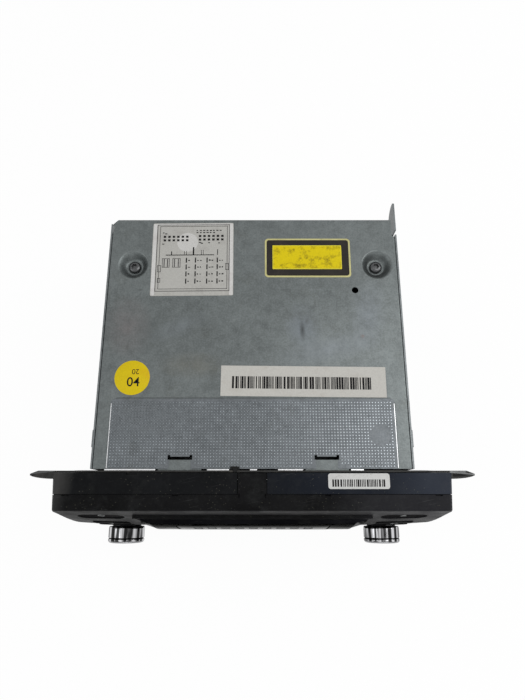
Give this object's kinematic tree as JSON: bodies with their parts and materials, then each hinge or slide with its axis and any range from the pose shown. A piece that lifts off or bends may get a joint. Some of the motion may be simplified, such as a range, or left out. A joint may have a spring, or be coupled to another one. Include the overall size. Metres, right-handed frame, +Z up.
{
  "type": "car cd player",
  "caption": "Tall car radio with a slot-loading disc deck, a black front panel with knobs and keys, a steel case, mounting ears and rear sockets.",
  "frame": {"origin": "centre of the whole object's box, at its base", "axes": "+X to the right as seen from the front, the front panel faces -Y, +Z up"},
  "size_m": [0.2496, 0.213, 0.104],
  "materials": {
    "zinc_steel": "zinc-coated sheet with a faint mottle",
    "dull_steel": "plain rolled sheet",
    "bright_steel": "bright",
    "bare_aluminium": "extruded",
    "black_plastic": "fine-grained moulding",
    "soft_black": "matt",
    "smoked_pane": "polished",
    "display_grey": "glossy",
    "circuit_green": "solder mask",
    "chip_black": "matt",
    "connector_black": "matt",
    "socket_blue": "matt",
    "fuse_brown": "clear moulding",
    "chrome_plate": "polished",
    "gear_white": "natural",
    "lens_clear": "clear",
    "white_label": "printed film",
    "yellow_label": "printed film"
  },
  "bodies": {
    "root": {"chassis_tub": "dull_steel", "top_cover": "zinc_steel", "cover_screw_left": "bright_steel", "cover_screw_right": "bright_steel", "rear_panel": "zinc_steel", "heat_sink": "bare_aluminium", "main_board": "circuit_green", "amplifier_chip": "chip_black", "tuner_can": "bright_steel", "power_connector": "connector_black", "fuse": "fuse_brown", "antenna_socket": "socket_blue", "mounting_plate": "dull_steel", "fascia": "black_plastic", "bezel_frame": "black_plastic", "display_window": "smoked_pane", "display_module": "display_grey", "keypad_board": "circuit_green", "slot_felt": "soft_black", "volume_encoder": "dull_steel", "tune_encoder": "dull_steel", "deck_cradle": "zinc_steel", "damper_front_left": "soft_black", "damper_front_right": "soft_black", "damper_rear_left": "soft_black", "damper_rear_right": "soft_black", "deck_base": "dull_steel", "disc_guide": "dull_steel", "spindle_motor": "bright_steel", "loading_motor": "bright_steel", "guide_rod_front": "bright_steel", "guide_rod_rear": "bright_steel", "sled_motor": "bright_steel"},
    "eject_key": {"eject_button": "black_plastic"},
    "power_key": {"power_button": "black_plastic"},
    "side_key_lu": {"side_key_left_upper": "black_plastic"},
    "side_key_ru": {"side_key_right_upper": "black_plastic"},
    "side_key_ll": {"side_key_left_lower": "black_plastic"},
    "side_key_rl": {"side_key_right_lower": "black_plastic"},
    "preset_1": {"preset_button_1": "black_plastic"},
    "preset_2": {"preset_button_2": "black_plastic"},
    "preset_3": {"preset_button_3": "black_plastic"},
    "preset_4": {"preset_button_4": "black_plastic"},
    "preset_5": {"preset_button_5": "black_plastic"},
    "preset_6": {"preset_button_6": "black_plastic"},
    "volume_switch": {"volume_plunger": "gear_white"},
    "volume_dial": {"volume_knob": "chrome_plate"},
    "tune_switch": {"tune_plunger": "gear_white"},
    "tune_dial": {"tune_knob": "chrome_plate"},
    "clamp": {"clamp_arm": "zinc_steel"},
    "puck": {"clamp_puck": "black_plastic"},
    "spindle": {"turntable": "black_plastic"},
    "roller": {"loading_roller": "soft_black", "roller_gear": "gear_white"},
    "idler": {"idler_gear": "gear_white"},
    "load_pinion": {"motor_pinion": "gear_white"},
    "sled": {"laser_sled": "black_plastic"},
    "lens": {"objective_lens": "lens_clear"},
    "sled_wheel": {"sled_gear": "gear_white"},
    "sled_drive": {"sled_pinion": "gear_white"}
  },
  "joints": [
    {"name": "eject_press", "type": "slide", "parent": "root", "child": "eject_key", "axis": [0, 1, 0], "range_m": [0, 0.0012], "stiffness_N_per_m": 400, "springref_m": -0.0005},
    {"name": "power_press", "type": "slide", "parent": "root", "child": "power_key", "axis": [0, 1, 0], "range_m": [0, 0.0012], "stiffness_N_per_m": 400, "springref_m": -0.0005},
    {"name": "side_key_left_upper_press", "type": "slide", "parent": "root", "child": "side_key_lu", "axis": [0, 1, 0], "range_m": [0, 0.0012], "stiffness_N_per_m": 400, "springref_m": -0.0005},
    {"name": "side_key_right_upper_press", "type": "slide", "parent": "root", "child": "side_key_ru", "axis": [0, 1, 0], "range_m": [0, 0.0012], "stiffness_N_per_m": 400, "springref_m": -0.0005},
    {"name": "side_key_left_lower_press", "type": "slide", "parent": "root", "child": "side_key_ll", "axis": [0, 1, 0], "range_m": [0, 0.0012], "stiffness_N_per_m": 400, "springref_m": -0.0005},
    {"name": "side_key_right_lower_press", "type": "slide", "parent": "root", "child": "side_key_rl", "axis": [0, 1, 0], "range_m": [0, 0.0012], "stiffness_N_per_m": 400, "springref_m": -0.0005},
    {"name": "preset_1_press", "type": "slide", "parent": "root", "child": "preset_1", "axis": [0, 1, 0], "range_m": [0, 0.0012], "stiffness_N_per_m": 400, "springref_m": -0.0005},
    {"name": "preset_2_press", "type": "slide", "parent": "root", "child": "preset_2", "axis": [0, 1, 0], "range_m": [0, 0.0012], "stiffness_N_per_m": 400, "springref_m": -0.0005},
    {"name": "preset_3_press", "type": "slide", "parent": "root", "child": "preset_3", "axis": [0, 1, 0], "range_m": [0, 0.0012], "stiffness_N_per_m": 400, "springref_m": -0.0005},
    {"name": "preset_4_press", "type": "slide", "parent": "root", "child": "preset_4", "axis": [0, 1, 0], "range_m": [0, 0.0012], "stiffness_N_per_m": 400, "springref_m": -0.0005},
    {"name": "preset_5_press", "type": "slide", "parent": "root", "child": "preset_5", "axis": [0, 1, 0], "range_m": [0, 0.0012], "stiffness_N_per_m": 400, "springref_m": -0.0005},
    {"name": "preset_6_press", "type": "slide", "parent": "root", "child": "preset_6", "axis": [0, 1, 0], "range_m": [0, 0.0012], "stiffness_N_per_m": 400, "springref_m": -0.0005},
    {"name": "volume_push", "type": "slide", "parent": "root", "child": "volume_switch", "axis": [0, 1, 0], "range_m": [0, 0.0008], "stiffness_N_per_m": 800, "springref_m": -0.0005},
    {"name": "volume_turn", "type": "hinge", "parent": "volume_switch", "child": "volume_dial", "pos_m": [-0.0856, -0.1, 0.029], "axis": [0, 1, 0], "continuous": true},
    {"name": "tune_push", "type": "slide", "parent": "root", "child": "tune_switch", "axis": [0, 1, 0], "range_m": [0, 0.0008], "stiffness_N_per_m": 800, "springref_m": -0.0005},
    {"name": "tune_turn", "type": "hinge", "parent": "tune_switch", "child": "tune_dial", "pos_m": [0.0856, -0.1, 0.029], "axis": [0, 1, 0], "continuous": true},
    {"name": "clamp_swing", "type": "hinge", "parent": "root", "child": "clamp", "pos_m": [0, 0.0555, 0.093], "axis": [1, 0, 0], "range_deg": [0, 11.5]},
    {"name": "puck_turn", "type": "hinge", "parent": "clamp", "child": "puck", "pos_m": [0, 0.01229, 0.09128], "axis": [0, 0.1994, 0.9799], "continuous": true},
    {"name": "spindle_turn", "type": "hinge", "parent": "root", "child": "spindle", "pos_m": [0, 0.0135, 0.081], "axis": [0, 0, 1], "continuous": true},
    {"name": "roller_turn", "type": "hinge", "parent": "root", "child": "roller", "pos_m": [0, -0.0505, 0.0796], "axis": [1, 0, 0], "continuous": true},
    {"name": "idler_turn", "type": "hinge", "parent": "root", "child": "idler", "pos_m": [-0.0728, -0.03647, 0.0715], "axis": [1, 0, 0], "continuous": true},
    {"name": "motor_pinion_turn", "type": "hinge", "parent": "root", "child": "load_pinion", "pos_m": [-0.0728, -0.02426, 0.0746], "axis": [1, 0, 0], "continuous": true},
    {"name": "sled_slide", "type": "slide", "parent": "root", "child": "sled", "axis": [1, 0, 0], "range_m": [0, 0.034]},
    {"name": "lens_focus", "type": "slide", "parent": "sled", "child": "lens", "axis": [0, 0, 1], "range_m": [-0.0004, 0.0004], "stiffness_N_per_m": 60},
    {"name": "sled_gear_turn", "type": "hinge", "parent": "root", "child": "sled_wheel", "pos_m": [0.031, -0.0123, 0.07], "axis": [0, 0, 1], "range_deg": [-560, 1]},
    {"name": "sled_pinion_turn", "type": "hinge", "parent": "root", "child": "sled_drive", "pos_m": [0.01972, -0.0164, 0.069], "axis": [0, 0, 1], "range_deg": [-1, 1675]}
  ],
  "couplings": [
    {"joint": "idler_turn", "follows": "roller_turn", "ratio": -0.8},
    {"joint": "motor_pinion_turn", "follows": "roller_turn", "ratio": 2},
    {"joint": "sled_gear_turn", "follows": "sled_slide", "rad_per_m": -285.71},
    {"joint": "sled_pinion_turn", "follows": "sled_slide", "rad_per_m": 857.14}
  ]
}
